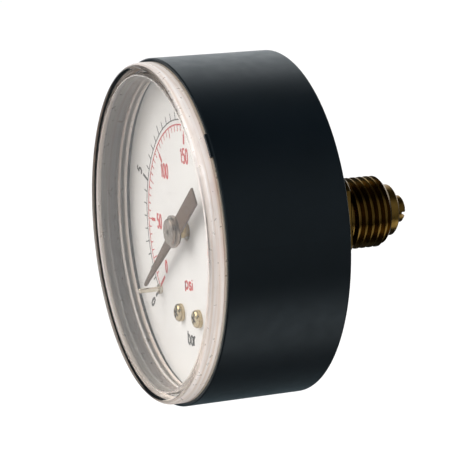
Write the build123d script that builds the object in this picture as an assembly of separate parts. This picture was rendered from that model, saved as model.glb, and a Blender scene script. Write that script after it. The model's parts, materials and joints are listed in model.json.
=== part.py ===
from build123d import *
from math import acos, atan2, cos, degrees, floor, hypot, pi, radians, sin, tan
import os

# A 63 mm Bourdon-tube pressure gauge: black plastic case, clear snap-in window, brass
# connection at the centre of the back. Millimetres. The gauge axis is Y: the dial faces -Y
# and the stud points to +Y. +Z is up on the dial and +X is to the right for the reader.
# The origin is the centre of the sealing shoulder, where the thread starts.
# Angles on the dial ("clock") are degrees clockwise from +Z for the reader. Angles in the
# movement ("bearing") are degrees anticlockwise from +X for the reader.

# ---------------------------------------------------------------- driving dimensions
case_radius = 31.0
case_depth = 22.4
case_wall = 1.5
rear_wall = 2.0
case_rear_round = 0.4
case_lip_chamfer = 0.2
key_height = 0.45
key_thickness = 0.6
key_clock = 56.0
key_arc = 8.0
key_start_depth = 0.6

window_rise = 3.0
window_plate = 1.5
window_flange_radius = 30.35
window_edge_round = 1.0
window_skirt_end = 7.8
window_skirt_wall = 1.1
window_step_depth = 5.9
window_step_wall = 0.3
window_end_chamfer = 0.35
window_fit = 0.06
window_corner_round = 0.4

dial_depth = 8.6
dial_thickness = 0.6
dial_edge_gap = 0.2
dial_hole_radius = 1.9
dial_screw_x = 4.35
dial_screw_inset = 5.6

wrench_flats = 14.0
wrench_length = 11.8
wrench_corner_reach = 1.6
wrench_corner_radius = wrench_flats / 2 + wrench_corner_reach
shank_hole_gap = 0.1

stud_length = 13.0
thread_radius = 6.5785
thread_pitch = 1.337
thread_depth = 0.856
thread_relief = 1.3
thread_relief_gap = 0.1
thread_end_chamfer = 0.8
thread_crest_at = 7.9
thread_cut_rise = 0.1
neck_radius = 4.75
neck_length = 2.2
spigot_radius = 2.5
spigot_length = 2.3
spigot_slot_width = 0.9
spigot_slot_depth = 0.8
spigot_slot_angle = 20.0
stud_edge_round = 0.3
port_radius = 1.5

tube_radius = 21.0
tube_width = 7.5
tube_thickness = 2.2
tube_wall = 0.35
tube_root = -90.0
tube_end = -358.0
tube_dial_gap = 2.3
dial_screw_z = dial_screw_inset - tube_radius

plate_thickness = 1.0
plate_dial_gap = 2.0
pillar_length = 5.8
pillar_radius = 1.0
movement_bearing = -30.0
gear_module = 0.25
pinion_teeth = 12
sector_circle_teeth = 96
sector_teeth = 12
tooth_backlash = 0.05
sector_thickness = 0.9
sector_front_gap = 1.1
pivot_clearance = 0.03
axial_clearance = 0.1
arbor_radius = 0.8
pivot_radius = 0.4
sector_arbor_radius = 0.9

pointer_depth = 6.3
pointer_thickness = 0.4
pointer_rest_clock = -124.5
pointer_travel = 259.5
pointer_reach = 20.9
pointer_tail = 12.7
pointer_root_half = 1.25
pointer_tip_half = 0.35
pointer_tail_half = 1.65
hub_front_radius = 2.4
hub_rear_radius = 2.95
hub_front_length = 0.75
hub_rear_length = 0.45
hub_edge_round = 0.2
arbor_nose_radius = 0.5

stop_clock = -130.5
stop_place_radius = 19.0
stop_radius = 0.45
stop_length = 4.4
stop_collar_radius = 0.95
stop_collar_length = 0.5

tail_radius = 5.0
tail_mid_bearing = -4.0
link_length = 6.5
link_thickness = 0.6
link_pin_radius = 0.4
link_eye_wall = 0.75
open_pivot_clearance = 0.15
tip_swing = 7.2

# ---------------------------------------------------------------- stations along Y
tip_y = stud_length
case_rear = -wrench_length
case_front = case_rear - case_depth
rear_inner = case_rear - rear_wall
window_front = case_front - window_rise
dial_front = window_front + dial_depth
dial_rear = dial_front + dial_thickness
front_plate_front = dial_rear + plate_dial_gap
front_plate_rear = front_plate_front + plate_thickness
rear_plate_front = front_plate_rear + pillar_length
rear_plate_rear = rear_plate_front + plate_thickness
head_front = rear_plate_rear
sector_front = front_plate_rear + sector_front_gap
sector_rear = sector_front + sector_thickness
tube_front = dial_rear + tube_dial_gap
tube_rear = tube_front + tube_width
link_front = sector_rear + axial_clearance
link_rear = link_front + link_thickness
case_bore = case_radius - case_wall


# ---------------------------------------------------------------- drawing helpers
def rod(radius, y_from, y_to, x=0.0, z=0.0):
    """A round bar along Y."""
    bar = Cylinder(radius, abs(y_to - y_from))
    return Pos(x, (y_from + y_to) / 2, z) * Rot(90, 0, 0) * bar


def tube_bar(outer, inner, y_from, y_to, x=0.0, z=0.0):
    """A round sleeve along Y."""
    return rod(outer, y_from, y_to, x, z) - rod(inner, y_from, y_to, x, z)


def block(x_from, x_to, y_from, y_to, z_from, z_to):
    """A box between two corners."""
    centre = Pos((x_from + x_to) / 2, (y_from + y_to) / 2, (z_from + z_to) / 2)
    return centre * Box(x_to - x_from, y_to - y_from, z_to - z_from)


def slab(outline, y_front, y_back):
    """A flat outline in X and Z, given thickness along Y."""
    return extrude(Plane.XZ.offset(-y_back) * outline, amount=y_back - y_front)


def turned(*points):
    """A turned shape: (radius, Y) points around the gauge axis."""
    return revolve(make_face(Polyline(*points, close=True)), axis=Axis.Y)


def clock_place(radius, clock):
    """X and Z of a place on the dial, at a clock angle."""
    return radius * sin(radians(clock)), radius * cos(radians(clock))


def bearing_place(radius, bearing, x=0.0, z=0.0):
    """X and Z at a radius and bearing from a centre."""
    return x + radius * cos(radians(bearing)), z + radius * sin(radians(bearing))


def turn_about(place, centre, angle):
    """A place turned anticlockwise for the reader about a centre."""
    dx, dz = place[0] - centre[0], place[1] - centre[1]
    c, s = cos(radians(angle)), sin(radians(angle))
    return centre[0] + c * dx - s * dz, centre[1] + s * dx + c * dz


def movement_place(along, across):
    """X and Z of a place in the movement: along the line from pinion to sector, and across it."""
    x, z = bearing_place(along, movement_bearing)
    return bearing_place(across, movement_bearing + 90, x, z)


# ---------------------------------------------------------------- case and window
def make_case():
    """The cup: side wall, rear wall with a square hole for the stem, and the key on its lip."""
    shell = rod(case_radius, case_front, case_rear) - rod(case_bore, case_front, rear_inner)
    rear_edge = shell.edges().group_by(Axis.Y)[-1]
    shell = fillet(rear_edge, case_rear_round)
    lip = shell.edges().filter_by(GeomType.CIRCLE).group_by(Axis.Y)[0].sort_by(SortBy.RADIUS)
    shell = chamfer(lip[-1], case_lip_chamfer)
    half = wrench_flats / 2 + shank_hole_gap
    shell -= block(-half, half, rear_inner, case_rear, -half, half)
    key = tube_bar(
        case_radius - case_lip_chamfer,
        case_radius - case_lip_chamfer - key_thickness,
        case_front - key_height,
        case_front + key_start_depth,
    )
    reach = 2 * case_radius
    edges = [clock_place(reach, key_clock + side * key_arc / 2) for side in (-1, 1)]
    wedge = make_face(Polyline((0, 0), *edges, close=True))
    key &= slab(wedge, case_front - key_height, case_front + key_start_depth)
    shell += key
    for x, z in case_screw_places():
        shell -= rod(case_screw_radius + case_screw_gap, rear_inner, case_rear, x, z)
    return shell


def make_window():
    """The clear cap: flat front plate, flange on the case lip, and a stepped skirt inside the case."""
    outer = case_bore - window_fit
    thick = outer - window_skirt_wall
    thin = thick + window_step_wall
    plate_back = window_front + window_plate
    step = window_front + window_step_depth
    end = window_front + window_skirt_end
    cap = turned(
        (0, window_front),
        (window_flange_radius, window_front),
        (window_flange_radius, case_front),
        (outer, case_front),
        (outer, end - window_end_chamfer),
        (outer - window_end_chamfer, end),
        (thin, end),
        (thin, step),
        (thick, step - window_step_wall),
        (thick, plate_back),
        (0, plate_back),
    )
    circles = cap.edges().filter_by(GeomType.CIRCLE)
    rim = circles.group_by(Axis.Y)[0]
    cap = fillet(rim, window_edge_round)
    inner = cap.edges().filter_by(GeomType.CIRCLE)
    inner = [e for e in inner if abs(e.radius - thick) < 0.01 and abs(e.center().Y - plate_back) < 0.01]
    cap = fillet(inner, window_corner_round)
    notch_inner = case_radius - case_lip_chamfer - key_thickness - window_fit
    if notch_inner < window_flange_radius:
        reach = 2 * case_radius
        spread = key_arc / 2 + degrees(window_fit / case_radius)
        sides = [clock_place(reach, key_clock + side * spread) for side in (-1, 1)]
        wedge = make_face(Polyline((0, 0), *sides, close=True))
        notch = slab(wedge, case_front - key_height - window_fit, case_front)
        notch -= rod(notch_inner, case_front - key_height - window_fit, case_front)
        cap -= notch
    return cap


# ---------------------------------------------------------------- screws
screw_dome_share = 0.6
screw_slot_share = 0.5
screw_cross_share = 0.6
screw_point_share = 0.4


def pan_screw(head_radius, head_height, shank_radius, shank_length, slot_width, cross=False):
    """A pan-head screw pointing along +Y, its head's seat at the origin."""
    dome = Cylinder(head_radius, head_height)
    dome = fillet(dome.edges().group_by(Axis.Z)[-1], head_height * screw_dome_share)
    screw = Pos(0, 0, head_height / 2) * dome
    slot_depth = head_height * screw_slot_share
    slots = [Box(2 * head_radius, slot_width, 2 * slot_depth)]
    if cross:
        reach = 2 * head_radius * screw_cross_share
        slots = [Box(reach, slot_width, 2 * slot_depth)]
        slots += [Box(slot_width, reach, 2 * slot_depth)]
    for cut in slots:
        screw -= Pos(0, 0, head_height) * cut
    shank = Cylinder(shank_radius, shank_length)
    shank = chamfer(shank.edges().group_by(Axis.Z)[0], shank_radius * screw_point_share)
    screw += Pos(0, 0, -shank_length / 2) * shank
    return Rot(90, 0, 0) * screw


case_screw_radius = 1.5
case_screw_gap = 0.1
case_screw_head_radius = 2.75
case_screw_head_height = 1.9
case_screw_length = 5.4
case_screw_slot = 0.7
case_screw_low_x = 5.4
case_screw_low_z = -16.3
case_screw_square_gap = 4.0
case_screw_high_z = wrench_flats / 2 + case_screw_square_gap


def case_screw_places():
    """Where the three screws hold the stem's head to the rear wall."""
    return [
        (0.0, case_screw_high_z),
        (-case_screw_low_x, case_screw_low_z),
        (case_screw_low_x, case_screw_low_z),
    ]


def make_case_screws():
    """The three screws through the rear wall, heads outside."""
    screw = pan_screw(
        case_screw_head_radius,
        case_screw_head_height,
        case_screw_radius,
        case_screw_length,
        case_screw_slot,
        cross=True,
    )
    screw = Rot(0, 0, 180) * screw
    return [Pos(x, case_rear, z) * screw for x, z in case_screw_places()]


dial_screw_radius = 1.0
dial_screw_gap = 0.1
dial_screw_head_radius = 1.65
dial_screw_head_height = 1.15
dial_screw_length = 5.2
dial_screw_slot = 0.5
dial_screw_turn = 25.0
dial_spacer_radius = 1.9


def dial_screw_places():
    """Where the two screws hold the dial to the stem's foot."""
    return [(-dial_screw_x, dial_screw_z), (dial_screw_x, dial_screw_z)]


def make_dial_screws():
    """The two round-head screws that show on the dial."""
    screw = pan_screw(
        dial_screw_head_radius,
        dial_screw_head_height,
        dial_screw_radius,
        dial_screw_length,
        dial_screw_slot,
        cross=True,
    )
    return [Pos(x, dial_front, z) * Rot(0, dial_screw_turn, 0) * screw for x, z in dial_screw_places()]


def make_dial_spacers():
    """The two sleeves between the dial and the stem's foot."""
    bore = dial_screw_radius + dial_screw_gap
    return [
        tube_bar(dial_spacer_radius, bore, dial_rear, foot_front, x, z)
        for x, z in dial_screw_places()
    ]


# ---------------------------------------------------------------- dial and stop pin
stop_tail_length = 0.35
stop_tail_radius = 0.7
stop_nose_round = 0.18


def make_dial():
    """The dial plate, with holes for the arbor, its two screws and the stop pin."""
    plate = rod(case_bore - dial_edge_gap, dial_front, dial_rear)
    plate -= rod(dial_hole_radius, dial_front, dial_rear)
    for x, z in dial_screw_places():
        plate -= rod(dial_screw_radius + dial_screw_gap, dial_front, dial_rear, x, z)
    x, z = clock_place(stop_place_radius, stop_clock)
    plate -= rod(stop_radius, dial_front, dial_rear, x, z)
    return plate


def make_stop_pin():
    """The pin that stops the pointer below zero, riveted through the dial."""
    x, z = clock_place(stop_place_radius, stop_clock)
    pin = rod(stop_radius, dial_front - stop_length, dial_rear)
    pin = fillet(pin.edges().group_by(Axis.Y)[0], stop_nose_round)
    pin += rod(stop_collar_radius, dial_front - stop_collar_length, dial_front)
    pin += rod(stop_tail_radius, dial_rear, dial_rear + stop_tail_length)
    return Pos(x, 0, z) * pin


# ---------------------------------------------------------------- stem
head_shoulder = 0.6
head_half_width = wrench_flats / 2 + head_shoulder
head_screw_margin = 3.0
head_top = case_screw_high_z + head_screw_margin
foot_screw_margin = 2.6
foot_top = dial_screw_z + foot_screw_margin
foot_tube_margin = 3.6
foot_bottom = -tube_radius - foot_tube_margin
passage_radius = 0.9
passage_start = 1.0
plug_length = 2.2
throttle_length = 4.0
throttle_bore = 0.3
throttle_slot = 0.5
throttle_slot_depth = 0.8
throttle_inset = 1.6
foot_dial_gap = 1.5
foot_front = dial_rear + foot_dial_gap
tapping_reserve = 0.2
case_screw_depth = case_screw_length - rear_wall + tapping_reserve
dial_screw_depth = dial_screw_length - dial_thickness - foot_dial_gap + tapping_reserve
passage_y = (head_front + rear_inner) / 2


def tube_section(thickness, width):
    """The flattened oval section of the tube, in radius and Y."""
    return SlotOverall(width, thickness, rotation=90)


def tube_sweep(thickness, width, bearing_from, bearing_to):
    """The tube's section carried round the gauge axis between two bearings."""
    middle = (tube_front + tube_rear) / 2
    section = Pos(tube_radius, middle, 0) * tube_section(thickness, width)
    swept = revolve(section, axis=Axis.Y, revolution_arc=bearing_from - bearing_to)
    return Rot(0, -bearing_from, 0) * swept


def make_thread_groove():
    """The helical groove that leaves the thread's crests standing, along +Z before it is turned."""
    root_radius = thread_radius - thread_depth
    root = thread_pitch / 6
    flank = (thread_pitch * 2 / 3) / 2 / thread_depth
    mouth = root + 2 * flank * (thread_depth + thread_cut_rise)
    start = thread_relief / 2
    crest_phase = (thread_crest_at - thread_pitch / 2 - start) / thread_pitch
    turn = -90 - 360 * (crest_phase - floor(crest_phase))
    path = Helix(thread_pitch, stud_length, root_radius)
    plane = Plane(origin=path @ 0, x_dir=(1, 0, 0), z_dir=path % 0)
    outline = Polyline(
        (0, -root / 2),
        (thread_depth + thread_cut_rise, -mouth / 2),
        (thread_depth + thread_cut_rise, mouth / 2),
        (0, root / 2),
        close=True,
    )
    groove = sweep(plane * make_face(outline), path=path, is_frenet=True)
    return Pos(0, 0, start) * Rot(0, 0, turn) * groove


def make_stud():
    """The threaded stud with its relief, neck and spigot, along +Z from the shoulder."""
    thread_end = stud_length - spigot_length - neck_length
    relief_radius = thread_radius - thread_depth - thread_relief_gap
    slope = thread_relief_gap + thread_depth
    lead_in = max(thread_end - thread_end_chamfer, thread_relief)
    outline = Polyline(
        (0, 0),
        (relief_radius, 0),
        (relief_radius, thread_relief - slope / 2),
        (thread_radius, thread_relief),
        (thread_radius, lead_in),
        (thread_radius - thread_end_chamfer, thread_end),
        (neck_radius, thread_end),
        (neck_radius, thread_end + neck_length - stud_edge_round),
        (neck_radius - stud_edge_round, thread_end + neck_length),
        (spigot_radius, thread_end + neck_length),
        (spigot_radius, stud_length - stud_edge_round),
        (spigot_radius - stud_edge_round, stud_length),
        (0, stud_length),
        close=True,
    )
    stud = revolve(Plane.XZ * make_face(outline), axis=Axis.Z)
    stud -= make_thread_groove()
    slot = Box(2 * spigot_radius, spigot_slot_width, 2 * spigot_slot_depth)
    stud -= Pos(0, 0, stud_length) * Rot(0, 0, spigot_slot_angle) * slot
    return stud


def make_socket():
    """The brass stem: head inside the case, foot that holds the tube, wrench square and stud."""
    stem = Rot(-90, 0, 0) * make_stud()
    half = wrench_flats / 2
    square = block(-half, half, head_front, 0, -half, half)
    square &= rod(wrench_corner_radius, head_front, 0)
    edges = square.edges().group_by(Axis.Y)[-1]
    square = chamfer(edges, stud_edge_round)
    stem += square
    width = head_half_width
    stem += block(-width, width, head_front, rear_inner, foot_bottom, head_top)
    stem += block(-width, width, foot_front, head_front, foot_bottom, foot_top)
    stem -= rod(port_radius, passage_y - passage_radius, tip_y)
    root_z = -tube_radius
    passage = Pos(0, passage_y, foot_bottom / 2) * Cylinder(passage_radius, -foot_bottom)
    stem -= passage
    stem -= rod(passage_radius, tube_front + passage_start, rear_inner, 0, root_z)
    stem -= tube_sweep(tube_thickness, tube_width, tube_root, tube_root - 90)
    for x, z in case_screw_places():
        stem -= rod(case_screw_radius, rear_inner - case_screw_depth, rear_inner, x, z)
    for x, z in dial_screw_places():
        stem -= rod(dial_screw_radius, foot_front, foot_front + dial_screw_depth, x, z)
    for x, z in movement_screw_places():
        stem -= rod(movement_screw_radius, head_front, head_front + movement_screw_depth, x, z)
    return stem


def make_passage_plugs():
    """The two plugs that close the drilled ends of the pressure passage."""
    low = Pos(0, passage_y, foot_bottom + plug_length / 2) * Cylinder(passage_radius, plug_length)
    rear = rod(passage_radius, rear_inner - plug_length / 2, rear_inner, 0, -tube_radius)
    return [low, rear]


def make_throttle():
    """The throttle screw in the port: a slotted plug with a fine hole."""
    front = tip_y - throttle_inset - throttle_length
    plug = rod(port_radius, front, tip_y - throttle_inset)
    plug -= rod(throttle_bore, front, tip_y - throttle_inset)
    y = tip_y - throttle_inset
    half = throttle_slot / 2
    plug -= block(-port_radius, port_radius, y - throttle_slot_depth, y, -half, half)
    return plug


# ---------------------------------------------------------------- Bourdon tube
end_piece_arc = 9.0
end_piece_overlap = 0.4
end_piece_lip = 0.3


def make_bourdon_tube():
    """The C-shaped flattened tube, open where it enters the foot."""
    outer = tube_sweep(tube_thickness, tube_width, tube_root, tube_end)
    hollow_thickness = tube_thickness - 2 * tube_wall
    hollow_width = tube_width - 2 * tube_wall
    outer -= tube_sweep(hollow_thickness, hollow_width, tube_root, tube_end)
    return outer


def tube_centroid():
    """The centre that the tube's free end swings about as it unwinds."""
    first = -degrees(acos(-head_half_width / tube_radius))
    sweep_angle = first - tube_end
    middle = first - sweep_angle / 2
    half = radians(sweep_angle / 2)
    return bearing_place(tube_radius * sin(half) / half, middle)


# ---------------------------------------------------------------- linkage geometry at rest
pinion_radius = gear_module * pinion_teeth / 2
sector_radius = gear_module * sector_circle_teeth / 2
centre_distance = pinion_radius + sector_radius
gear_ratio = sector_circle_teeth / pinion_teeth
sector_travel = pointer_travel / gear_ratio
sector_place = movement_place(centre_distance, 0)
link_mid_bearing = tail_mid_bearing + 90
tail_mid = bearing_place(tail_radius, tail_mid_bearing, *sector_place)
tip_pin_mid = bearing_place(link_length, link_mid_bearing, *tail_mid)
tube_centre = tube_centroid()
tip_pin = turn_about(tip_pin_mid, tube_centre, -tip_swing / 2)
tail_pin = bearing_place(tail_radius, tail_mid_bearing - sector_travel / 2, *sector_place)
end_piece_front = link_rear + axial_clearance
end_piece_lug = 1.6
end_piece_eye_wall = 1.0
end_piece_root_radius = 1.6
pin_head_radius = 0.8
pin_head_height = 0.3


def make_end_piece():
    """The tip that closes the tube's free end, with the lug that carries the link's pin."""
    cap = tube_sweep(
        tube_thickness + 2 * end_piece_overlap,
        tube_width + 2 * end_piece_lip,
        tube_end,
        tube_end - end_piece_arc,
    )
    x, z = tip_pin
    boss = link_pin_radius + end_piece_eye_wall
    rear = end_piece_front + end_piece_lug
    anchor = bearing_place(tube_radius, tube_end - end_piece_arc / 2)
    arm = hull_of_circles([(anchor, end_piece_root_radius), ((x, z), boss)])
    cap += slab(arm, end_piece_front, rear)
    cap -= rod(link_pin_radius, end_piece_front, rear, x, z)
    return cap


def hull_of_circles(circles):
    """The outline that a belt would take round circles given as ((x, z), radius)."""
    (first, r1), (second, r2) = circles
    dx, dz = second[0] - first[0], second[1] - first[1]
    length = hypot(dx, dz)
    base = degrees(atan2(dz, dx))
    lean = degrees(acos((r1 - r2) / length))
    points = [
        bearing_place(r1, base + lean, *first),
        bearing_place(r2, base + lean, *second),
        bearing_place(r2, base - lean, *second),
        bearing_place(r1, base - lean, *first),
    ]
    web = make_face(Polyline(*points, close=True))
    return web + Pos(*first) * Circle(r1) + Pos(*second) * Circle(r2)


def make_tip_pin():
    """The rivet that carries the link on the tube's tip."""
    x, z = tip_pin
    pin = rod(link_pin_radius, link_front - axial_clearance, end_piece_front + end_piece_lug, x, z)
    front = link_front - axial_clearance
    return pin + rod(pin_head_radius, front - pin_head_height, front, x, z)


def make_tail_pin():
    """The rivet in the sector's tail that drives through the link's lower eye."""
    x, z = tail_pin
    back = link_rear + axial_clearance
    pin = rod(link_pin_radius, sector_front, back, x, z)
    return pin + rod(pin_head_radius, back, back + pin_head_height, x, z)


def make_link():
    """The link from the tube's tip to the sector, with a running eye and a clearance eye."""
    running = link_pin_radius + pivot_clearance
    clear = link_pin_radius + open_pivot_clearance
    shape = hull_of_circles([(tip_pin, running + link_eye_wall), (tail_pin, clear + link_eye_wall)])
    bar = slab(shape, link_front, link_rear)
    bar -= rod(running, link_front, link_rear, *tip_pin)
    bar -= rod(clear, link_front, link_rear, *tail_pin)
    return bar


# ---------------------------------------------------------------- gears
pressure_angle = 20.0
flank_steps = 4
pinion_face = 2.2
pinion_addendum = 1.0
pinion_dedendum = 1.15
pinion_root_narrowing = 0.06
sector_addendum = 0.75
sector_dedendum = 1.3
sector_rim = 1.8
sector_window_inset = 6.0
sector_window_near = 4.6
sector_window_steps = 6
sector_hub_radius = 2.1
sector_eye_radius = 1.1


def involute(angle):
    """The involute of an angle in radians."""
    return tan(angle) - angle


def tooth_half_angle(radius, pitch_radius, teeth):
    """Half the angle of a tooth's thickness at a radius, in radians."""
    base = pitch_radius * cos(radians(pressure_angle))
    half = pi / (2 * teeth) - tooth_backlash / 2 / pitch_radius
    if radius <= base:
        return half + involute(radians(pressure_angle))
    return half + involute(radians(pressure_angle)) - involute(acos(base / radius))


def tooth_points(centre_angle, pitch_radius, teeth, addendum, dedendum, root_narrowing):
    """One tooth's outline, from its root on one side to its root on the other (radius, radians)."""
    tip = pitch_radius + addendum * gear_module
    root = pitch_radius - dedendum * gear_module
    base = max(pitch_radius * cos(radians(pressure_angle)), root)
    radii = [base + (tip - base) * step / flank_steps for step in range(flank_steps + 1)]
    side = [(r, tooth_half_angle(r, pitch_radius, teeth)) for r in radii]
    if base > root:
        side = [(root, side[0][1] - root_narrowing / pitch_radius)] + side
    left = [(r, centre_angle - half) for r, half in side]
    right = [(r, centre_angle + half) for r, half in reversed(side)]
    return left + right


def polar_line(points, centre=(0.0, 0.0)):
    """(radius, radians) points as X and Z about a centre."""
    return [(centre[0] + r * cos(a), centre[1] + r * sin(a)) for r, a in points]


def make_pinion_outline():
    """The pinion's teeth, one of them pointing away from the sector's nearest gap."""
    pitch = 2 * pi / pinion_teeth
    mesh = radians(movement_bearing)
    points = []
    for tooth in range(pinion_teeth):
        centre = mesh + (tooth + 0.5) * pitch
        points += tooth_points(
            centre,
            pinion_radius,
            pinion_teeth,
            pinion_addendum,
            pinion_dedendum,
            pinion_root_narrowing,
        )
    return make_face(Polyline(*polar_line(points), close=True))


def make_sector_outline():
    """The sector: hub, toothed rim on a web with a window, and the tail for the link."""
    pitch = 2 * pi / sector_circle_teeth
    mesh = radians(movement_bearing + 180)
    middle = mesh - radians(sector_travel / 2)
    first = round((middle - mesh) / pitch - (sector_teeth - 1) / 2)
    points = []
    for tooth in range(sector_teeth):
        centre = mesh + (first + tooth) * pitch
        points += tooth_points(
            centre, sector_radius, sector_circle_teeth, sector_addendum, sector_dedendum, 0.0
        )
    rim_inner = sector_radius - sector_rim
    start, end = points[0][1] - pitch / 4, points[-1][1] + pitch / 4
    root = sector_radius - sector_dedendum * gear_module
    outline = [(root, start)] + points + [(root, end)]
    web = [(0.0, 0.0)]
    body = make_face(Polyline(*polar_line(outline + web), close=True))
    inset = radians(sector_window_inset)
    near = sector_window_near
    far_arc = [
        (rim_inner, start + inset + (end - start - 2 * inset) * k / sector_window_steps)
        for k in range(sector_window_steps + 1)
    ]
    near_inset = inset * rim_inner / near
    near_arc = [(near, end - near_inset), (near, start + near_inset)]
    body -= make_face(Polyline(*polar_line(far_arc + near_arc), close=True))
    body = Pos(*sector_place) * body
    body += Pos(*sector_place) * Circle(sector_hub_radius)
    body += hull_of_circles([(sector_place, sector_hub_radius), (tail_pin, sector_eye_radius)])
    return body


def make_sector_gear():
    """The sector gear, pressed on its arbor."""
    gear = slab(make_sector_outline(), sector_front, sector_rear)
    gear -= rod(sector_arbor_radius, sector_front, sector_rear, *sector_place)
    gear -= rod(link_pin_radius, sector_front, sector_rear, *tail_pin)
    return gear


def make_sector_arbor():
    """The sector's arbor, with a pivot in each plate."""
    x, z = sector_place
    body_front = front_plate_rear + axial_clearance
    body_rear = rear_plate_front - axial_clearance
    arbor = rod(sector_arbor_radius, body_front, body_rear, x, z)
    return arbor + rod(pivot_radius, front_plate_front, rear_plate_rear, x, z)


def make_pinion_arbor():
    """The arbor that carries pinion, hairspring collet and pointer, pinion cut from the solid."""
    body_front = front_plate_rear + axial_clearance
    body_rear = rear_plate_front - axial_clearance
    pinion_front = sector_front - (pinion_face - sector_thickness) / 2
    arbor = rod(arbor_radius, front_bush_front, body_rear)
    arbor += rod(arbor_nose_radius, pointer_front - hub_front_length, front_bush_front)
    arbor += rod(pivot_radius, body_rear, rear_plate_rear - axial_clearance)
    arbor += slab(make_pinion_outline(), max(pinion_front, body_front), pinion_front + pinion_face)
    return arbor


# ---------------------------------------------------------------- movement frame
front_bush_radius = 1.5
front_bush_rise = 1.2
front_bush_front = front_plate_front - front_bush_rise
plate_back_reach = 6.8
plate_front_reach = 3.6
plate_half_width = 5.5
plate_corner = 1.5
pillar_back = 5.3
pillar_side = 4.1
movement_screw_radius = 0.8
movement_screw_head_radius = 1.3
movement_screw_head_height = 0.7
movement_screw_slot = 0.35
movement_screw_depth = 2.0
movement_screw_along = 3.3
movement_screw_across = 3.9
pillar_screw_radius = 0.5
pillar_screw_depth = 2.0
pillar_screw_head_radius = 1.0
pillar_screw_head_height = 0.6
pillar_screw_slot = 0.25
screw_end_gap = 0.2


def movement_screw_places():
    """The two screws that hold the rear plate to the stem's head, beside the pinion."""
    return [
        movement_place(movement_screw_along, movement_screw_across),
        movement_place(-movement_screw_along, -movement_screw_across),
    ]


def pillar_places():
    """The three pillars: one behind the pinion and one each side of the sector's arbor."""
    return [
        movement_place(-pillar_back, 0),
        movement_place(centre_distance, pillar_side),
        movement_place(centre_distance, -pillar_side),
    ]


def make_plate_outline():
    """A movement plate: a rounded rectangle along the line of the two arbors."""
    length = centre_distance + plate_back_reach + plate_front_reach
    middle = movement_place((centre_distance + plate_front_reach - plate_back_reach) / 2, 0)
    outline = RectangleRounded(length, 2 * plate_half_width, plate_corner)
    return Pos(*middle) * Rot(0, 0, movement_bearing) * outline


def make_front_plate():
    """The front plate, with its bush for the pointer arbor and its screw holes."""
    plate = slab(make_plate_outline(), front_plate_front, front_plate_rear)
    plate += rod(front_bush_radius, front_bush_front, front_plate_front)
    plate -= rod(arbor_radius + pivot_clearance, front_bush_front, front_plate_rear)
    plate -= rod(pivot_radius + pivot_clearance, front_plate_front, front_plate_rear, *sector_place)
    for x, z in pillar_places():
        plate -= rod(pillar_screw_radius, front_plate_front, front_plate_rear, x, z)
    return plate


def make_rear_plate():
    """The rear plate, with pivot holes and the holes for the movement screws."""
    plate = slab(make_plate_outline(), rear_plate_front, rear_plate_rear)
    for place in ((0.0, 0.0), sector_place):
        plate -= rod(pivot_radius + pivot_clearance, rear_plate_front, rear_plate_rear, *place)
    for x, z in movement_screw_places():
        plate -= rod(movement_screw_radius, rear_plate_front, rear_plate_rear, x, z)
    plate -= rod(stud_post_radius, rear_plate_front, rear_plate_rear, *hairspring_stud_place())
    return plate


def make_pillars():
    """The three pillars between the plates, drilled for the front screws."""
    pillars = []
    for x, z in pillar_places():
        pillar = rod(pillar_radius, front_plate_rear, rear_plate_front, x, z)
        hole_end = front_plate_rear + pillar_screw_depth
        pillars.append(pillar - rod(pillar_screw_radius, front_plate_rear, hole_end, x, z))
    return pillars


def make_pillar_screws():
    """The three small screws that hold the front plate to the pillars."""
    screw = pan_screw(
        pillar_screw_head_radius,
        pillar_screw_head_height,
        pillar_screw_radius,
        plate_thickness + pillar_screw_depth - screw_end_gap,
        pillar_screw_slot,
    )
    return [Pos(x, front_plate_front, z) * screw for x, z in pillar_places()]


def make_movement_screws():
    """The two screws that hold the movement to the stem's head."""
    screw = pan_screw(
        movement_screw_head_radius,
        movement_screw_head_height,
        movement_screw_radius,
        plate_thickness + movement_screw_depth - screw_end_gap,
        movement_screw_slot,
    )
    return [Pos(x, rear_plate_front, z) * screw for x, z in movement_screw_places()]


# ---------------------------------------------------------------- hairspring
collet_radius = 1.5
collet_length = 1.3
hairspring_turns = 5
hairspring_pitch = 0.5
hairspring_strip = 0.12
hairspring_height = 0.8
stud_post_radius = 0.45
stud_post_rise = 0.3
hairspring_rear_gap = 1.6
hairspring_rear = rear_plate_front - hairspring_rear_gap
hairspring_front = hairspring_rear - hairspring_height
hairspring_collet_gap = 0.02
hairspring_first = collet_radius + hairspring_strip / 2 + hairspring_collet_gap
hairspring_bearing = 60.0


def hairspring_last_radius():
    """The outer radius that the spiral ends at."""
    return hairspring_first + hairspring_pitch * hairspring_turns


def hairspring_stud_place():
    """Where the hairspring's stud stands."""
    reach = hairspring_last_radius() + hairspring_strip / 2 + stud_post_radius
    return bearing_place(reach, hairspring_bearing)


def make_hairspring_collet():
    """The collet pressed on the arbor."""
    front = hairspring_front - (collet_length - hairspring_height) / 2
    return tube_bar(collet_radius, arbor_radius, front, front + collet_length)


def make_hairspring():
    """The flat spiral, drawn as half turns of growing radius about two centres."""
    step = hairspring_pitch / 4
    spring = None
    for half in range(2 * hairspring_turns):
        side = -1 if half % 2 else 1
        radius = hairspring_first + hairspring_pitch * (half + 0.5) / 2
        ring = Circle(radius + hairspring_strip / 2) - Circle(radius - hairspring_strip / 2)
        keep = Pos(0, side * radius) * Rectangle(4 * radius, 2 * radius)
        arc = Pos(-side * step, 0) * (ring & keep)
        spring = arc if spring is None else spring + arc
    spring = Rot(0, 0, hairspring_bearing) * spring
    return slab(spring, hairspring_front, hairspring_rear)


def make_hairspring_stud():
    """The post on the rear plate that holds the spiral's outer end."""
    x, z = hairspring_stud_place()
    return rod(stud_post_radius, hairspring_front - stud_post_rise, rear_plate_rear, x, z)


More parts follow.
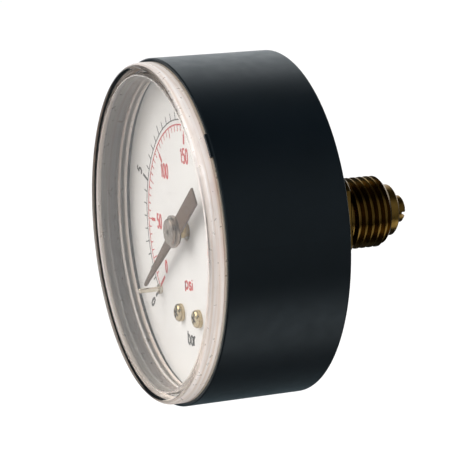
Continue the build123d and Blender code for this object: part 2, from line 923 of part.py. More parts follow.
# ---------------------------------------------------------------- pointer
pointer_front = window_front + pointer_depth
pointer_rear = pointer_front + pointer_thickness
pointer_eye_radius = 2.6
boss_front_radius = 1.5
boss_rear_radius = 1.1
boss_bush_gap = 0.15


def make_pointer():
    """The pointer: a tapering arm and a broad straight tail, drawn pointing up, then turned."""
    outline = Polyline(
        (-pointer_root_half, 0),
        (-pointer_tip_half, pointer_reach - pointer_tip_half),
        (0, pointer_reach),
        (pointer_tip_half, pointer_reach - pointer_tip_half),
        (pointer_root_half, 0),
        (pointer_tail_half, -hub_front_radius),
        (pointer_tail_half, -pointer_tail),
        (-pointer_tail_half, -pointer_tail),
        (-pointer_tail_half, -hub_front_radius),
        close=True,
    )
    blade = slab(make_face(outline) + Circle(pointer_eye_radius), pointer_front, pointer_rear)
    blade -= rod(boss_front_radius, pointer_front, pointer_rear)
    return Rot(0, pointer_rest_clock, 0) * blade


def make_pointer_hub():
    """The stepped hub in front of the blade, with the boss that is riveted through it."""
    nose = pointer_front - hub_rear_length - hub_front_length
    front = rod(hub_front_radius, nose, pointer_front - hub_rear_length)
    front = fillet(front.edges().group_by(Axis.Y)[0], hub_edge_round)
    hub = front + rod(hub_rear_radius, pointer_front - hub_rear_length, pointer_front)
    hub += rod(boss_front_radius, pointer_front, pointer_rear)
    hub -= rod(arbor_nose_radius, nose, pointer_rear)
    return hub


def make_pointer_boss():
    """The brass collar behind the blade that grips the arbor."""
    boss_rear = front_bush_front - boss_bush_gap
    collar = Cone(boss_front_radius, boss_rear_radius, boss_rear - pointer_rear)
    collar = Pos(0, (pointer_rear + boss_rear) / 2, 0) * Rot(-90, 0, 0) * collar
    return collar - rod(arbor_nose_radius, pointer_rear, front_bush_front)


# ---------------------------------------------------------------- writing the parts
def main():
    """Builds every piece and writes each to its own file."""
    pieces = {
        "case": make_case(),
        "window": make_window(),
        "dial": make_dial(),
        "dial_screws": make_dial_screws(),
        "dial_spacers": make_dial_spacers(),
        "stop_pin": make_stop_pin(),
        "socket": make_socket(),
        "throttle_screw": make_throttle(),
        "passage_plugs": make_passage_plugs(),
        "case_screws": make_case_screws(),
        "bourdon_tube": make_bourdon_tube(),
        "tube_end_piece": make_end_piece(),
        "tip_pin": make_tip_pin(),
        "link": make_link(),
        "tail_pin": make_tail_pin(),
        "sector_gear": make_sector_gear(),
        "sector_arbor": make_sector_arbor(),
        "front_plate": make_front_plate(),
        "rear_plate": make_rear_plate(),
        "pillars": make_pillars(),
        "pillar_screws": make_pillar_screws(),
        "movement_screws": make_movement_screws(),
        "pinion_arbor": make_pinion_arbor(),
        "hairspring_collet": make_hairspring_collet(),
        "hairspring": make_hairspring(),
        "hairspring_stud": make_hairspring_stud(),
        "pointer": make_pointer(),
        "pointer_hub": make_pointer_hub(),
        "pointer_boss": make_pointer_boss(),
    }
    os.makedirs("parts", exist_ok=True)
    for name, shape in pieces.items():
        solids = shape if isinstance(shape, list) else [shape]
        solids = [solid for piece in solids for solid in piece.solids()]
        export_step(Compound(children=solids), f"parts/{name}.step")


main()
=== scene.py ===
import bpy
import json
import math
from mathutils import Matrix, Vector


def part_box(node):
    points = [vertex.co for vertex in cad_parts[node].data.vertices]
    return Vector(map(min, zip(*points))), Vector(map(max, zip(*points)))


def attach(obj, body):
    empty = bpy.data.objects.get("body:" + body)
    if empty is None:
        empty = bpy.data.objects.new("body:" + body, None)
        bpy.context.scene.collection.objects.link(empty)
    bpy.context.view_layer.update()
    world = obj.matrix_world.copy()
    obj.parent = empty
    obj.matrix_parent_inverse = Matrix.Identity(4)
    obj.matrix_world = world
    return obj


# Looks for the 63 mm pressure gauge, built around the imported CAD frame. Metres; the dial
# faces -Y, +Z is up on the dial, and clock angles are degrees clockwise from +Z for the reader.

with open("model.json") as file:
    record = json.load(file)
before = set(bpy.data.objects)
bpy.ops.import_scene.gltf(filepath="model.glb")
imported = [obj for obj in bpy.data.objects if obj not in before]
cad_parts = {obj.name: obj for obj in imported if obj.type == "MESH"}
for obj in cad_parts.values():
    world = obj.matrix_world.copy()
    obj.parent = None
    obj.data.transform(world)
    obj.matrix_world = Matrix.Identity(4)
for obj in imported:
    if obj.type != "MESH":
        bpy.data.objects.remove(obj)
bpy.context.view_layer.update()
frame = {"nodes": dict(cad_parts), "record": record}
nodes = frame["nodes"]
MM = 0.001

DIAL_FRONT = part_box("dial")[0].y
CASE_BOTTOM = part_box("case")[0].z
WINDOW_LOW, WINDOW_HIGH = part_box("window")
WINDOW_RADIUS = WINDOW_HIGH.x


# ---------------------------------------------------------------- node helpers
COLOR_A, COLOR_B, COLOR_OUT = 6, 7, 2  # a Mix node's colour sockets, by their places
TINT_START, TINT_END = 0.35, 0.65  # noise below the first and above the second is one colour
MIDDLE_START, MIDDLE_END = 0.3, 0.7  # where nearly all of a noise lies


class Tree:
    """A node tree with short calls for its nodes."""

    def __init__(self, tree):
        self.tree = tree

    def node(self, kind, **settings):
        """Adds a node with its settings."""
        made = self.tree.nodes.new(kind)
        for key, value in settings.items():
            setattr(made, key, value)
        return made

    def link(self, source, target):
        """Joins an output to an input, or puts a plain value on the input."""
        if isinstance(source, bpy.types.NodeSocket):
            self.tree.links.new(source, target)
        else:
            target.default_value = source

    def calc(self, operation, first, second=0.0):
        """Reckons with one or two numbers, each an output or a plain value."""
        made = self.node("ShaderNodeMath", operation=operation)
        self.link(first, made.inputs[0])
        self.link(second, made.inputs[1])
        return made.outputs["Value"]

    def between(self, factor, first, second):
        """A number from the first to the second, by a factor."""
        made = self.node("ShaderNodeMix")
        self.link(factor, made.inputs["Factor"])
        self.link(first, made.inputs["A"])
        self.link(second, made.inputs["B"])
        return made.outputs["Result"]

    def blend(self, factor, first, second, kind="MIX"):
        """Two colours mixed or multiplied, by a factor."""
        made = self.node("ShaderNodeMix", data_type="RGBA", blend_type=kind)
        self.link(factor, made.inputs["Factor"])
        self.link(first, made.inputs[COLOR_A])
        self.link(second, made.inputs[COLOR_B])
        return made.outputs[COLOR_OUT]

    def ramp(self, source, low, high, start=MIDDLE_START, end=MIDDLE_END):
        """Maps a source between two values to a range of numbers."""
        ranged = self.node("ShaderNodeMapRange")
        self.link(start, ranged.inputs["From Min"])
        self.link(end, ranged.inputs["From Max"])
        self.link(low, ranged.inputs["To Min"])
        self.link(high, ranged.inputs["To Max"])
        self.link(source, ranged.inputs["Value"])
        return ranged.outputs["Result"]

    def shades(self, source, stops):
        """Colours for a 0 to 1 source, from (place, colour) stops. The first two take the places
        of the two that a new ramp has."""
        shaded = self.node("ShaderNodeValToRGB")
        elements = shaded.color_ramp.elements
        for index, (place, color) in enumerate(stops):
            stop = elements[index] if index < 2 else elements.new(place)
            stop.position = place
            stop.color = (*color, 1.0)
        self.link(source, shaded.inputs["Fac"])
        return shaded.outputs["Color"]


class Paint(Tree):
    """A Principled material with short calls for its procedural texture."""

    def __init__(self, name, color, roughness, metallic=0.0):
        self.material = bpy.data.materials.new(name)
        self.material.use_nodes = True
        super().__init__(self.material.node_tree)
        self.shader = self.tree.nodes["Principled BSDF"]
        self.output = self.tree.nodes["Material Output"]
        self.set("Base Color", (*color, 1.0))
        self.set("Roughness", roughness)
        self.set("Metallic", metallic)
        coordinates = self.node("ShaderNodeTexCoord")
        self.space = coordinates.outputs["Object"]
        self.normal = coordinates.outputs["Normal"]

    def set(self, socket, value):
        """Puts a plain value or an output on one of the shader's inputs."""
        self.link(value, self.shader.inputs[socket])

    def noise(self, grain, detail=3.0, stretch=(1.0, 1.0, 1.0)):
        """Noise whose grain is a size in metres, stretched along the row's axes."""
        mapping = self.node("ShaderNodeMapping")
        mapping.inputs["Scale"].default_value = [1.0 / (grain * s) for s in stretch]
        self.link(self.space, mapping.inputs["Vector"])
        texture = self.node("ShaderNodeTexNoise")
        self.link(1.0, texture.inputs["Scale"])
        self.link(detail, texture.inputs["Detail"])
        self.link(mapping.outputs["Vector"], texture.inputs["Vector"])
        return texture.outputs["Fac"]

    def rings(self, spacing):
        """Fine turning marks round the gauge axis."""
        wave = self.node("ShaderNodeTexWave", wave_type="RINGS", rings_direction="Y")
        self.link(0.5 / spacing, wave.inputs["Scale"])
        self.link(1.5, wave.inputs["Distortion"])
        self.link(2.0, wave.inputs["Detail"])
        self.link(self.space, wave.inputs["Vector"])
        return wave.outputs["Fac"]

    def tint(self, source, low, high):
        """Blends between two colours by noise, on the base colour."""
        self.set("Base Color", self.shades(source, ((TINT_START, low), (TINT_END, high))))

    def gloss(self, source, low, high):
        """Varies the roughness between two values by noise."""
        self.set("Roughness", self.ramp(source, low, high))

    def bump(self, source, height, strength):
        """Raises the surface by up to a height in metres."""
        bumped = self.node("ShaderNodeBump")
        self.link(strength, bumped.inputs["Strength"])
        self.link(height, bumped.inputs["Distance"])
        self.link(source, bumped.inputs["Height"])
        self.set("Normal", bumped.outputs["Normal"])

    def side_wall(self, radius, axial_limit):
        """1 beyond a radius from the gauge axis, on faces whose normal has less than a limit
        along the axis; 0 elsewhere."""
        flat = self.node("ShaderNodeVectorMath", operation="MULTIPLY")
        flat.inputs[1].default_value = (1.0, 0.0, 1.0)
        self.link(self.space, flat.inputs[0])
        reach = self.node("ShaderNodeVectorMath", operation="LENGTH")
        self.link(flat.outputs["Vector"], reach.inputs[0])
        beyond = self.calc("GREATER_THAN", reach.outputs["Value"], radius)
        facing = self.node("ShaderNodeSeparateXYZ")
        self.link(self.normal, facing.inputs["Vector"])
        along = self.calc("ABSOLUTE", facing.outputs["Y"])
        return self.calc("MULTIPLY", beyond, self.calc("LESS_THAN", along, axial_limit))

    def bands(self, low, high, stops):
        """Colours by depth: (depth, colour) stops, from 0 at a low to 1 at a high place in Y."""
        parts = self.node("ShaderNodeSeparateXYZ")
        self.link(self.space, parts.inputs["Vector"])
        return self.shades(self.ramp(parts.outputs["Y"], 0.0, 1.0, low, high), stops)


# ---------------------------------------------------------------- materials
def case_black():
    """Satin moulded plastic, near black with a blue tint and a very fine grain."""
    paint = Paint("case_black", (0.003, 0.0055, 0.008), 0.38)
    paint.set("Specular Tint", (0.75, 0.92, 1.0, 1.0))
    paint.set("Sheen Weight", 0.14)
    paint.set("Sheen Roughness", 0.35)
    paint.set("Sheen Tint", (0.55, 0.85, 1.0, 1.0))
    paint.tint(paint.noise(14 * MM), (0.0012, 0.0030, 0.0052), (0.0020, 0.0042, 0.0070))
    paint.gloss(paint.noise(2.5 * MM), 0.33, 0.4)
    paint.bump(paint.noise(0.35 * MM, 2.0), 0.012 * MM, 0.6)
    return paint.material


# The window's look by depth, from 0 at its front to 1 at the back of its skirt: how clear it is,
# where the less clear bands are painted highlights, and its colour, which is painted reflections
# and a painted shade line. The two ends of each list come first.
CLEAR, FAINT_GLINT_CLARITY, GLINT_CLARITY = (1.0, 1.0, 1.0), (0.6, 0.6, 0.6), (0.25, 0.25, 0.25)
WINDOW_GLINTS = (
    (0.0, CLEAR), (1.0, GLINT_CLARITY),
    (0.78, CLEAR), (0.795, GLINT_CLARITY), (0.82, GLINT_CLARITY), (0.835, CLEAR),
    (0.935, CLEAR), (0.95, GLINT_CLARITY),
    (0.475, CLEAR), (0.485, FAINT_GLINT_CLARITY), (0.5, CLEAR),
)
# Painted reflections and a painted shade line on the side walls, by depth: a dark line, then
# greenish and brownish bands.
LIGHT, DARK = (1.0, 1.0, 1.0), (0.45, 0.38, 0.36)
BROWN, GREEN = (0.84, 0.72, 0.64), (0.82, 0.80, 0.70)
WINDOW_PAINTED_REFLECTIONS = (
    (0.0, LIGHT), (1.0, LIGHT),
    (0.3, LIGHT), (0.33, DARK), (0.36, GREEN), (0.46, GREEN), (0.49, LIGHT),
    (0.52, BROWN), (0.76, BROWN), (0.79, LIGHT),
    (0.82, LIGHT), (0.84, GREEN), (0.93, GREEN), (0.95, LIGHT),
)
WALL_STREAKS = ((0.38, (0.76, 0.64, 0.56)), (0.6, (0.95, 0.90, 0.87)))
STREAK_STRETCH = (60.0, 1.0, 60.0)  # noise drawn out across the axis runs round a wall
WALL_ROUGHNESS = (0.26, 0.42)
WINDOW_TINT = (0.985, 0.98, 0.97)
PASSED_LIGHT = (0.93, 0.93, 0.92, 1.0)
POLISHED = 0.012
WALL_DEPTH, WALL_LIMIT = 2.6 * MM, 0.97  # the outer walls: how far in, and their axial limit
RIM_DEPTH, RIM_LIMIT = 0.7 * MM, 0.8  # the outermost wall alone
RIM_CLARITY = 0.42


def window_clear():
    """Clear plastic: polished flat faces, and side walls that are duller, with streaks round them
    and, by depth, painted reflections, a painted shade line and painted highlights. Rays from the
    lamps pass it, so that the dial behind it is lit."""
    paint = Paint("window_clear", WINDOW_TINT, POLISHED)
    paint.set("IOR", 1.49)
    side = paint.side_wall(WINDOW_RADIUS - WALL_DEPTH, WALL_LIMIT)
    rim = paint.side_wall(WINDOW_RADIUS - RIM_DEPTH, RIM_LIMIT)

    clarity = paint.ramp(rim, 1.0, RIM_CLARITY, 0.0, 1.0)
    # painted highlights: depth bands where the side walls pass less light and show their pale
    # colour
    glints = paint.bands(WINDOW_LOW.y, WINDOW_HIGH.y, WINDOW_GLINTS)
    wall_clarity = paint.calc("MULTIPLY", clarity, glints)
    paint.set("Transmission Weight", paint.between(side, 1.0, wall_clarity))

    dull = paint.ramp(paint.noise(1.2 * MM), *WALL_ROUGHNESS)
    paint.set("Roughness", paint.between(side, POLISHED, dull))

    streaks = paint.shades(paint.noise(0.5 * MM, 2.0, STREAK_STRETCH), WALL_STREAKS)
    # painted reflections and a painted shade line round the side walls
    painted_reflections = paint.bands(WINDOW_LOW.y, WINDOW_HIGH.y, WINDOW_PAINTED_REFLECTIONS)
    streaks_and_reflections = paint.blend(1.0, streaks, painted_reflections, "MULTIPLY")
    paint.set("Base Color", paint.blend(side, (*WINDOW_TINT, 1.0), streaks_and_reflections))

    passed = paint.node("ShaderNodeBsdfTransparent")
    paint.link(PASSED_LIGHT, passed.inputs["Color"])
    mix = paint.node("ShaderNodeMixShader")
    paint.link(paint.node("ShaderNodeLightPath").outputs["Is Shadow Ray"], mix.inputs["Fac"])
    paint.link(paint.shader.outputs["BSDF"], mix.inputs[1])
    paint.link(passed.outputs["BSDF"], mix.inputs[2])
    paint.link(mix.outputs["Shader"], paint.output.inputs["Surface"])
    return paint.material


def dial_white():
    """Matt warm white paint on sheet metal."""
    paint = Paint("dial_white", (0.80, 0.775, 0.75), 0.48)
    paint.tint(paint.noise(20 * MM), (0.79, 0.765, 0.745), (0.82, 0.80, 0.775))
    paint.bump(paint.noise(0.6 * MM, 2.0), 0.004 * MM, 0.5)
    return paint.material


def ink(name, color):
    """Printed ink, a little uneven where it was laid down."""
    paint = Paint(name, color, 0.42)
    darker = [0.8 * c for c in color]
    paint.tint(paint.noise(0.8 * MM), darker, color)
    return paint.material


def metal(name, dark, light, rough_low, rough_high, grain=3 * MM, marks=None):
    """Bare metal: cloudy colour, uneven polish, and turning marks if their spacing is given."""
    paint = Paint(name, light, rough_low, 1.0)
    paint.tint(paint.noise(grain, 4.0), dark, light)
    paint.gloss(paint.noise(grain / 3), rough_low, rough_high)
    relief = paint.rings(marks) if marks else paint.noise(0.8 * MM, 1.0)
    paint.bump(relief, 0.001 * MM, 0.5)
    return paint.material


def painted(name, dark, light, roughness):
    """Thin paint on a small metal piece."""
    paint = Paint(name, light, roughness)
    paint.set("Specular IOR Level", 0.15)
    paint.tint(paint.noise(2.0 * MM), dark, light)
    paint.bump(paint.noise(0.3 * MM, 2.0), 0.003 * MM, 0.5)
    return paint.material


def floor_pale():
    """The studio floor, nearly white."""
    paint = Paint("floor_pale", (0.9, 0.9, 0.9), 0.7)
    paint.tint(paint.noise(150 * MM), (0.89, 0.89, 0.89), (0.91, 0.91, 0.91))
    return paint.material


# Each bare metal's darkest and lightest colour and lowest and highest roughness, and for the
# turned socket the grain and the spacing of its turning marks.
METALS = {
    "brass_dark": ((0.14, 0.085, 0.018), (0.34, 0.21, 0.052), 0.18, 0.32, 4 * MM, 0.12 * MM),
    "brass_bright": ((0.62, 0.44, 0.17), (0.78, 0.60, 0.28), 0.16, 0.28),
    "movement_brass": ((0.68, 0.5, 0.22), (0.80, 0.62, 0.30), 0.2, 0.32),
    "screw_brass": ((0.38, 0.29, 0.15), (0.62, 0.50, 0.29), 0.1, 0.18),
    "pin_nickel": ((0.60, 0.54, 0.42), (0.78, 0.72, 0.60), 0.16, 0.26),
    "screw_steel": ((0.48, 0.48, 0.45), (0.64, 0.64, 0.60), 0.24, 0.36),
    "pivot_steel": ((0.56, 0.56, 0.55), (0.68, 0.68, 0.67), 0.12, 0.22),
    "bronze": ((0.46, 0.26, 0.12), (0.62, 0.40, 0.20), 0.2, 0.32),
    "pointer_hub_grey": ((0.24, 0.195, 0.16), (0.34, 0.285, 0.235), 0.12, 0.18),
}
MATERIALS = {name: metal(name, *look) for name, look in METALS.items()}
MATERIALS["case_black"] = case_black()
MATERIALS["window_clear"] = window_clear()
MATERIALS["dial_white"] = dial_white()
MATERIALS["pointer_grey"] = painted(
    "pointer_grey", (0.088, 0.053, 0.034), (0.11, 0.067, 0.043), 0.5
)
INK_BLACK = ink("ink_black", (0.032, 0.028, 0.024))
INK_RED = ink("ink_red", (0.62, 0.035, 0.035))
CRISP_ANGLE = 40.0


def dress_cad():
    """Gives every CAD node the material of its record slot, and shades its curved faces smoothly
    but leaves edges sharper than CRISP_ANGLE crisp."""
    slots = {part["node"]: part["material_slot"] for part in frame["record"]["subparts"]}
    for name, node in nodes.items():
        node.data.materials.clear()
        node.data.materials.append(MATERIALS[slots[name]])
        node.data.shade_smooth()
        node.data.set_sharp_from_angle(angle=math.radians(CRISP_ANGLE))


# ---------------------------------------------------------------- dial print
INK = 0.03 * MM  # how thick it is laid
INK_Y = DIAL_FRONT - INK

# The two scales: arcs, the marks' lengths and widths, and what they read.
BLACK_ARC, RED_ARC = 19.8 * MM, 18.9 * MM
LINE, RED_LINE, BROAD = 0.22 * MM, 0.27 * MM, 0.5 * MM
BAR_LONG, BAR_MIDDLE, BAR_SHORT = 2.6 * MM, 1.9 * MM, 1.4 * MM
PSI_LONG, PSI_MIDDLE, PSI_SHORT = 3.4 * MM, 1.9 * MM, 1.2 * MM
BLOCK_OUTER, BLOCK_WIDTH = 1.6 * MM, 0.6 * MM  # the thick inner end of a 50 psi mark
STEM = 1.8 * MM  # the thin rest of it
BAR_SPAN = 13.5  # degrees from one bar to the next
BAR_TOP = 10  # the pressure at the top of the dial
PSI_PER_BAR = 14.5038
ZERO_CLOCK = -129.0
BAR_FIRST, BAR_FULL, BAR_STEP = 1, 20, 5  # first and last mark, and from number to number
PSI_FIRST, PSI_FULL, PSI_STEP = 15, 290, 50
PSI_MARK = 5  # from mark to mark; the bar scale is marked by half bars

# The numerals: widths by the number of digits, heights, and where they stand.
BOLD = 0.46 * MM
SAME_POINT = 0.0001 * MM  # a stroke whose ends are closer is a ring
BAR_WIDTHS = (1.2 * MM, 2.5 * MM)
PSI_WIDTHS = (1.2 * MM, 2.6 * MM, 3.9 * MM)
BAR_HEIGHT, PSI_HEIGHT, PSI_ZERO_HEIGHT = 2.7 * MM, 2.95 * MM, 2.6 * MM
BAR_NUMERALS, PSI_NUMERALS = 24.4 * MM, 13.4 * MM
PSI_ZERO_RADIUS, PSI_ZERO_CLOCK = 13.5 * MM, -125.3
NUMERAL_SHIFT = {100: 0.3 * MM}  # how far left of its mark's radius a psi numeral stands
UNIT_WIDTH = 3.9 * MM
UNITS = (("psi", 2.9 * MM, -10.0 * MM, INK_RED), ("bar", 2.8 * MM, -19.6 * MM, INK_BLACK))


def bar_clock(bar):
    """Clock angle of a pressure in bar. The zero mark stands beside the stop pin."""
    return ZERO_CLOCK if bar == 0 else (bar - BAR_TOP) * BAR_SPAN


def psi_clock(psi):
    """Clock angle of a pressure in psi."""
    return ZERO_CLOCK if psi == 0 else bar_clock(psi / PSI_PER_BAR)


def dial_point(radius, clock, aside=0.0):
    """X and Z on the dial, at a clock angle, moved aside at right angles to the radius."""
    turn = math.radians(clock)
    x = radius * math.sin(turn) + aside * math.cos(turn)
    z = radius * math.cos(turn) - aside * math.sin(turn)
    return x, z


class Print:
    """One piece of the dial's print, gathered as closed prisms an ink layer thick."""

    def __init__(self):
        self.vertices = []
        self.faces = []

    def lay(self, outline):
        """Adds an outline of (x, z) points on the ink's face and again on the dial."""
        self.vertices += [(x, INK_Y, z) for x, z in outline]
        self.vertices += [(x, DIAL_FRONT, z) for x, z in outline]

    def rim(self, start, count):
        """Adds the walls between the two outlines of a prism."""
        for i in range(count):
            j = (i + 1) % count
            self.faces.append([start + j, start + i, start + count + i, start + count + j])

    def prism(self, outline):
        """Adds a closed outline of (x, z) points."""
        start, count = len(self.vertices), len(outline)
        self.lay(outline)
        self.faces.append([start + i for i in range(count)])
        self.faces.append([start + count + i for i in reversed(range(count))])
        self.rim(start, count)

    def tick(self, clock, inner, outer, width):
        """Adds a radial line."""
        half = width / 2
        corners = ((inner, -half), (outer, -half), (outer, half), (inner, half))
        self.prism([dial_point(radius, clock, aside) for radius, aside in corners])

    def arc(self, radius, width, start, end):
        """Adds a circular line, in one-degree pieces that share their ends."""
        steps = max(1, round(end - start))
        clocks = [start + (end - start) * i / steps for i in range(steps + 1)]
        outer = [dial_point(radius + width / 2, clock) for clock in clocks]
        inner = [dial_point(radius - width / 2, clock) for clock in clocks]
        self.ribbon(outer, inner)

    def ribbon(self, outer, inner):
        """Adds a line between two rows of (x, z) points, as many in each."""
        start, last = len(self.vertices), 2 * len(outer)
        self.lay(outer + inner[::-1])
        for i in range(len(outer) - 1):
            quad = [i, i + 1, last - 2 - i, last - 1 - i]
            self.faces.append([start + k for k in quad])
            self.faces.append([start + last + k for k in reversed(quad)])
        self.rim(start, last)

    def stroke(self, path, width):
        """Adds a line of one width along a row of (x, z) points."""
        left, right = [], []
        count = len(path)
        ring = math.dist(path[0], path[-1]) < SAME_POINT
        for i in range(count):
            before = path[i - 1] if i else (path[-2] if ring else path[0])
            after = path[i + 1] if i + 1 < count else (path[1] if ring else path[-1])
            side = Vector((after[0] - before[0], after[1] - before[1])).normalized()
            x, z = path[i]
            left.append((x - side.y * width / 2, z + side.x * width / 2))
            right.append((x + side.y * width / 2, z - side.x * width / 2))
        self.ribbon(left, right)

    def build(self, name, material):
        """Makes the object, paints it and lets it ride on the case."""
        mesh = bpy.data.meshes.new(name)
        mesh.from_pydata(self.vertices, [], self.faces)
        mesh.validate()
        mesh.materials.append(material)
        piece = bpy.data.objects.new(name, mesh)
        bpy.context.scene.collection.objects.link(piece)
        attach(piece, "case")


def black_scale():
    """The outer scale in bar: an arc with ticks outside it."""
    layer = Print()
    layer.arc(BLACK_ARC, LINE, ZERO_CLOCK, bar_clock(BAR_FULL))
    layer.tick(ZERO_CLOCK, BLACK_ARC, BLACK_ARC + BAR_LONG, BROAD)
    for half_bar in range(2 * BAR_FIRST, 2 * BAR_FULL + 1):
        if half_bar % (2 * BAR_STEP) == 0:
            length, width = BAR_LONG, BROAD
        elif half_bar % BAR_STEP == 0:
            length, width = BAR_MIDDLE, LINE
        else:
            length, width = BAR_SHORT, LINE
        layer.tick(bar_clock(half_bar / 2), BLACK_ARC, BLACK_ARC + length, width)
    layer.build("black_scale", INK_BLACK)


def red_scale():
    """The inner scale in psi: an arc with ticks inside it."""
    layer = Print()
    layer.arc(RED_ARC, RED_LINE, ZERO_CLOCK, psi_clock(PSI_FULL))
    layer.tick(ZERO_CLOCK, RED_ARC - PSI_LONG, RED_ARC, BROAD)
    for psi in range(PSI_FIRST, PSI_FULL + 1, PSI_MARK):
        clock = psi_clock(psi)
        length = PSI_SHORT
        if psi % PSI_STEP == 0:
            layer.tick(clock, RED_ARC - PSI_LONG, RED_ARC - BLOCK_OUTER, BLOCK_WIDTH)
            length = STEM
        elif psi % (PSI_STEP // 2) == 0:
            length = PSI_MIDDLE
        layer.tick(clock, RED_ARC - length, RED_ARC, LINE)
    layer.build("red_scale", INK_RED)


BOW_STEP = 15  # degrees from point to point of a bow
BOW_LEAST = 6  # a short bow has at least this many steps


def bow(x, z, rx, rz, start, end):
    """Points on part of an ellipse, from one angle to another, anticlockwise from +X."""
    steps = max(BOW_LEAST, round(abs(end - start) / BOW_STEP))
    turns = [math.radians(start + (end - start) * i / steps) for i in range(steps + 1)]
    return [(x + rx * math.cos(turn), z + rz * math.sin(turn)) for turn in turns]


# Each letter is its width and its strokes' middle lines, for digits one unit high.
LETTERS = {
    "0": (0.44, [bow(0.22, 0.5, 0.22, 0.5, 0, 360)]),
    "1": (0.26, [[(0.0, 0.78), (0.16, 0.93), (0.19, 1.0)], [(0.19, 1.0), (0.19, 0.0)]]),
    "2": (0.44, [
        bow(0.22, 0.74, 0.21, 0.26, 170, -25) + [(0.01, 0.0)],
        [(0.01, 0.0), (0.45, 0.0)],
    ]),
    "5": (0.44, [
        [(0.41, 1.0), (0.07, 1.0), (0.04, 0.52)] + bow(0.2, 0.31, 0.24, 0.31, 118, -145),
    ]),
    "p": (0.46, [[(0.0, -0.3), (0.0, 0.7)], bow(0.23, 0.35, 0.23, 0.35, 0, 360)]),
    "s": (0.36, [
        bow(0.18, 0.53, 0.17, 0.17, 25, 265) + bow(0.18, 0.175, 0.18, 0.175, 85, -155),
    ]),
    "i": (0.02, [[(0.0, 0.0), (0.0, 0.7)], [(0.0, 0.88), (0.0, 1.0)]]),
    "b": (0.46, [[(0.0, 0.0), (0.0, 1.0)], bow(0.23, 0.35, 0.23, 0.35, 0, 360)]),
    "a": (0.46, [bow(0.23, 0.35, 0.23, 0.35, 0, 360), [(0.46, 0.0), (0.46, 0.7)]]),
    "r": (0.28, [[(0.0, 0.0), (0.0, 0.7)], bow(0.2, 0.4, 0.2, 0.3, 180, 60)]),
}
LETTER_GAP = 0.2


def write(name, text, width, height, place, material, turn=0.0):
    """Prints text of a width and a height, centred on (x, z) and turned clockwise for the
    reader. A lone digit shares the width with the gap after it."""
    strokes, pen = [], 0.0
    for letter in text:
        span, paths = LETTERS[letter]
        strokes += [[(pen + x, z) for x, z in path] for path in paths]
        pen += span + LETTER_GAP
    xs = [x for path in strokes for x, _ in path]
    zs = [z for path in strokes for _, z in path]
    across = (width - BOLD) / (max(xs) - min(xs)) if len(text) > 1 else width / pen
    up = (height - BOLD) / (max(zs) - min(zs))
    middle = ((max(xs) + min(xs)) / 2, (max(zs) + min(zs)) / 2)
    c, s = math.cos(math.radians(turn)), math.sin(math.radians(turn))
    layer = Print()
    for path in strokes:
        flat = [((x - middle[0]) * across, (z - middle[1]) * up) for x, z in path]
        spun = [(place[0] + c * x + s * z, place[1] - s * x + c * z) for x, z in flat]
        layer.stroke(spun, BOLD)
    layer.build(name, material)


def numerals():
    """The numbers of both scales and the two unit names."""
    for bar in range(0, BAR_FULL + 1, BAR_STEP):
        text, clock = str(bar), bar_clock(bar)
        width, place = BAR_WIDTHS[len(text) - 1], dial_point(BAR_NUMERALS, clock)
        write(f"bar_{bar}", text, width, BAR_HEIGHT, place, INK_BLACK, clock)
    place = dial_point(PSI_ZERO_RADIUS, PSI_ZERO_CLOCK)
    write("psi_0", "0", PSI_WIDTHS[0], PSI_ZERO_HEIGHT, place, INK_RED)
    for psi in range(PSI_STEP, PSI_FULL, PSI_STEP):
        text = str(psi)
        x, z = dial_point(PSI_NUMERALS, psi_clock(psi))
        place = (x - NUMERAL_SHIFT.get(psi, 0.0), z)
        write(f"psi_{psi}", text, PSI_WIDTHS[len(text) - 1], PSI_HEIGHT, place, INK_RED)
    for text, height, z, material in UNITS:
        write(f"unit_{text}", text, UNIT_WIDTH, height, (0.0, z), material)


# ---------------------------------------------------------------- studio
FLOOR_DROP = 40 * MM
FLOOR_REACH = 6.0
ROOM_BASE = 0.04
# Light from all round: its direction, the cosines between which it fades in, and its strength.
ROOM_LIGHT = (
    ((-0.83, 0.44, 0.34), 0.74, 0.88, 0.98),  # a backdrop behind the gauge
    ((0.40, 0.35, -0.85), 0.92, 0.985, 0.85),  # a pale table below it
    ((0.92, 0.37, 0.15), 0.7, 0.95, 0.2),  # a dim wall on the stud's side of the camera
    ((0.3, -0.9, 0.3), 0.7, 0.95, 0.3),  # a dim wall in front of the dial
    ((0.78, -0.6, 0.15), 0.94, 0.985, 1.8),  # a small bright card beside the camera
)


def studio_floor():
    """A wide pale floor, some way below the gauge, that mirrors don't show."""
    height = CASE_BOTTOM - FLOOR_DROP
    sides = ((-1, -1), (1, -1), (1, 1), (-1, 1))
    corners = [(x * FLOOR_REACH, y * FLOOR_REACH, height) for x, y in sides]
    mesh = bpy.data.meshes.new("floor")
    mesh.from_pydata(corners, [], [(0, 1, 2, 3)])
    mesh.materials.append(floor_pale())
    piece = bpy.data.objects.new("floor", mesh)
    bpy.context.scene.collection.objects.link(piece)
    piece.visible_glossy = False


def lobe(room, direction, toward, start, end, strength):
    """Light from round a direction, fading from full at cosine end to none at cosine start."""
    dot = room.node("ShaderNodeVectorMath", operation="DOT_PRODUCT")
    dot.inputs[1].default_value = Vector(toward).normalized()
    room.link(direction, dot.inputs[0])
    fade = room.node("ShaderNodeMapRange", interpolation_type="SMOOTHSTEP")
    room.link(start, fade.inputs["From Min"])
    room.link(end, fade.inputs["From Max"])
    room.link(strength, fade.inputs["To Max"])
    room.link(dot.outputs["Value"], fade.inputs["Value"])
    return fade.outputs["Result"]


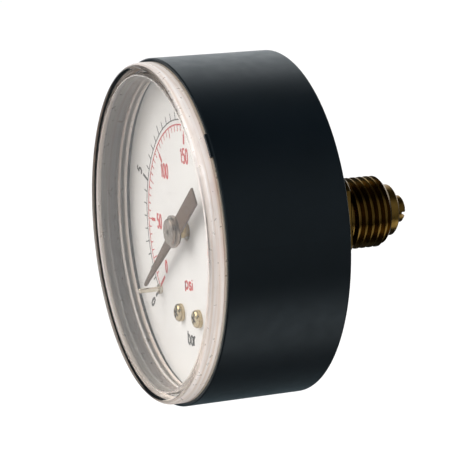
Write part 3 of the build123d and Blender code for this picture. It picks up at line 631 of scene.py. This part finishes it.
def studio_world():
    """A dim room with the lights of ROOM_LIGHT. The camera sees it plain white all round."""
    world = bpy.data.worlds.new("studio")
    world.use_nodes = True
    room = Tree(world.node_tree)
    direction = room.node("ShaderNodeTexCoord").outputs["Generated"]
    total, *others = [lobe(room, direction, *light) for light in ROOM_LIGHT]
    for light in others:
        total = room.calc("ADD", total, light)
    total = room.calc("ADD", total, ROOM_BASE)
    seen = room.node("ShaderNodeLightPath").outputs["Is Camera Ray"]
    background = world.node_tree.nodes["Background"]
    background.inputs["Color"].default_value = (1.0, 1.0, 1.0, 1.0)
    room.link(room.calc("MAXIMUM", total, seen), background.inputs["Strength"])
    bpy.context.scene.world = world


def sun(name, toward, spread, power):
    """An even soft lamp from a direction, not seen in mirrors; spread is its width in degrees."""
    light = bpy.data.lights.new(name, "SUN")
    light.energy = power
    light.angle = math.radians(spread)
    piece = bpy.data.objects.new(name, light)
    bpy.context.scene.collection.objects.link(piece)
    piece.rotation_mode = "QUATERNION"
    piece.rotation_quaternion = Vector(toward).to_track_quat("Z", "Y")
    piece.visible_glossy = False


def studio_lights():
    """A wide key from the dial's upper left, and a fill from above."""
    sun("key", (-0.45, -0.75, 0.6), 50.0, 2.3)
    sun("overhead", (0.1, 0.1, 1.0), 80.0, 2.0)


def photo_camera():
    """The camera at the photograph's viewing angle."""
    right = Vector((0.37847, 0.92415, -0.05204)).normalized()
    forward = Vector((-0.92068, 0.37006, -0.12415)).normalized()
    up = right.cross(forward)
    place = Vector((347.125, -161.613, 47.039)) * MM
    data = bpy.data.cameras.new("camera")
    data.sensor_width = 36.0
    data.lens = 168.0
    data.clip_start = 0.01
    data.clip_end = 50.0
    camera = bpy.data.objects.new("camera", data)
    bpy.context.scene.collection.objects.link(camera)
    turned = Matrix((right, up, -forward)).transposed().to_4x4()
    camera.matrix_world = Matrix.Translation(place) @ turned
    bpy.context.scene.camera = camera


dress_cad()
black_scale()
red_scale()
numerals()
studio_floor()
studio_world()
studio_lights()
photo_camera()
bpy.context.scene.view_settings.view_transform = "Standard"
